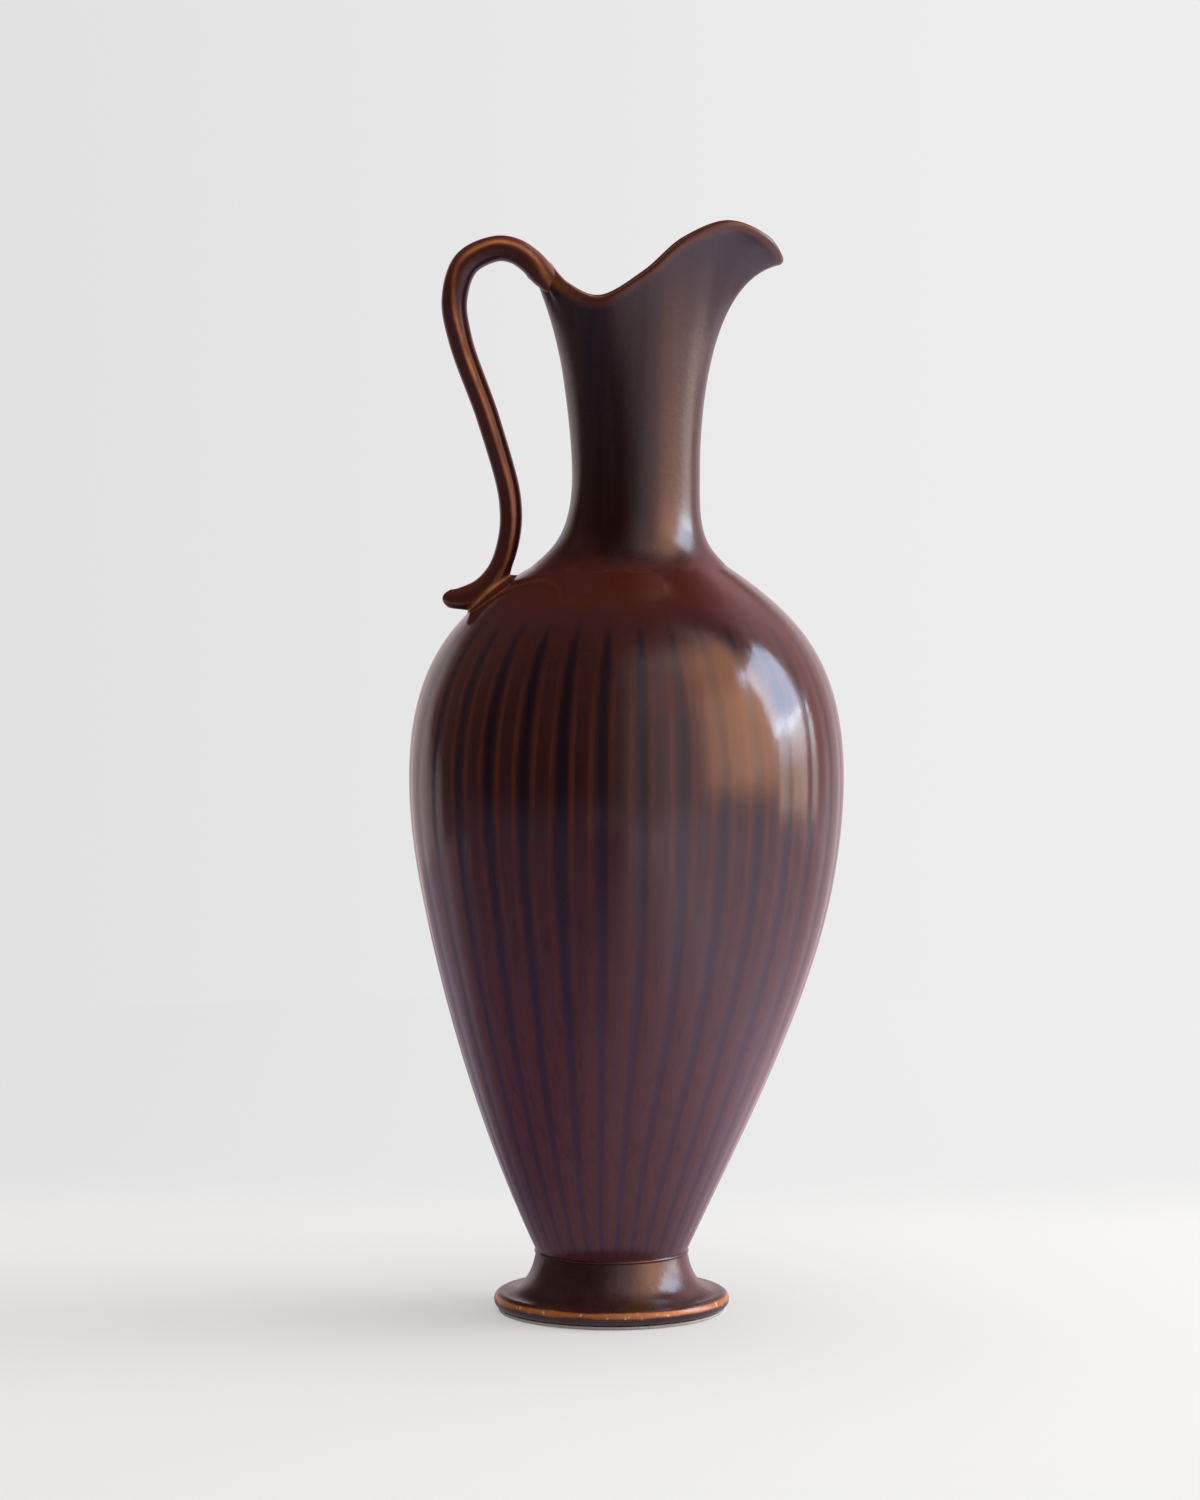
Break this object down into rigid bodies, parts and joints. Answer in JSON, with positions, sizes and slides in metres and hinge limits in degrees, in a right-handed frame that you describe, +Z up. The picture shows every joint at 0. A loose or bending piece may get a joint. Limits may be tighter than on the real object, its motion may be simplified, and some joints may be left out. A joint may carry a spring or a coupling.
{
  "type": "stoneware pitcher",
  "caption": "Tall glazed stoneware pitcher: flared pedestal foot, fluted ovoid body, slim neck with a swept-up beak spout, and a thin looped handle ending in a spur on the shoulder.",
  "frame": {"origin": "on the table plane under the middle of the body's box", "axes": "+Z up from the foot to the rim; +X from the handle towards the beak of the spout"},
  "size_m": [0.1234, 0.1232, 0.3103],
  "materials": {
    "bare_clay": "unglazed pale stoneware, dry and matt",
    "dark_glaze": "dark brown iron glaze, satin to gloss, breaking warm on edges",
    "red_brown_glaze": "glossy red-brown iron glaze, blue-black where it pools in the grooves",
    "iron_red_glaze": "glossy iron-red glaze",
    "amber_brown_glaze": "glossy amber-brown glaze, thin and bright along the ridges"
  },
  "bodies": {
    "root": {"foot_ring": "bare_clay", "pedestal_foot": "dark_glaze", "foot_bead": "iron_red_glaze", "body": "red_brown_glaze", "neck_band": "iron_red_glaze", "neck_and_spout": "dark_glaze", "handle": "amber_brown_glaze", "handle_pad": "amber_brown_glaze"}
  },
  "joints": []
}
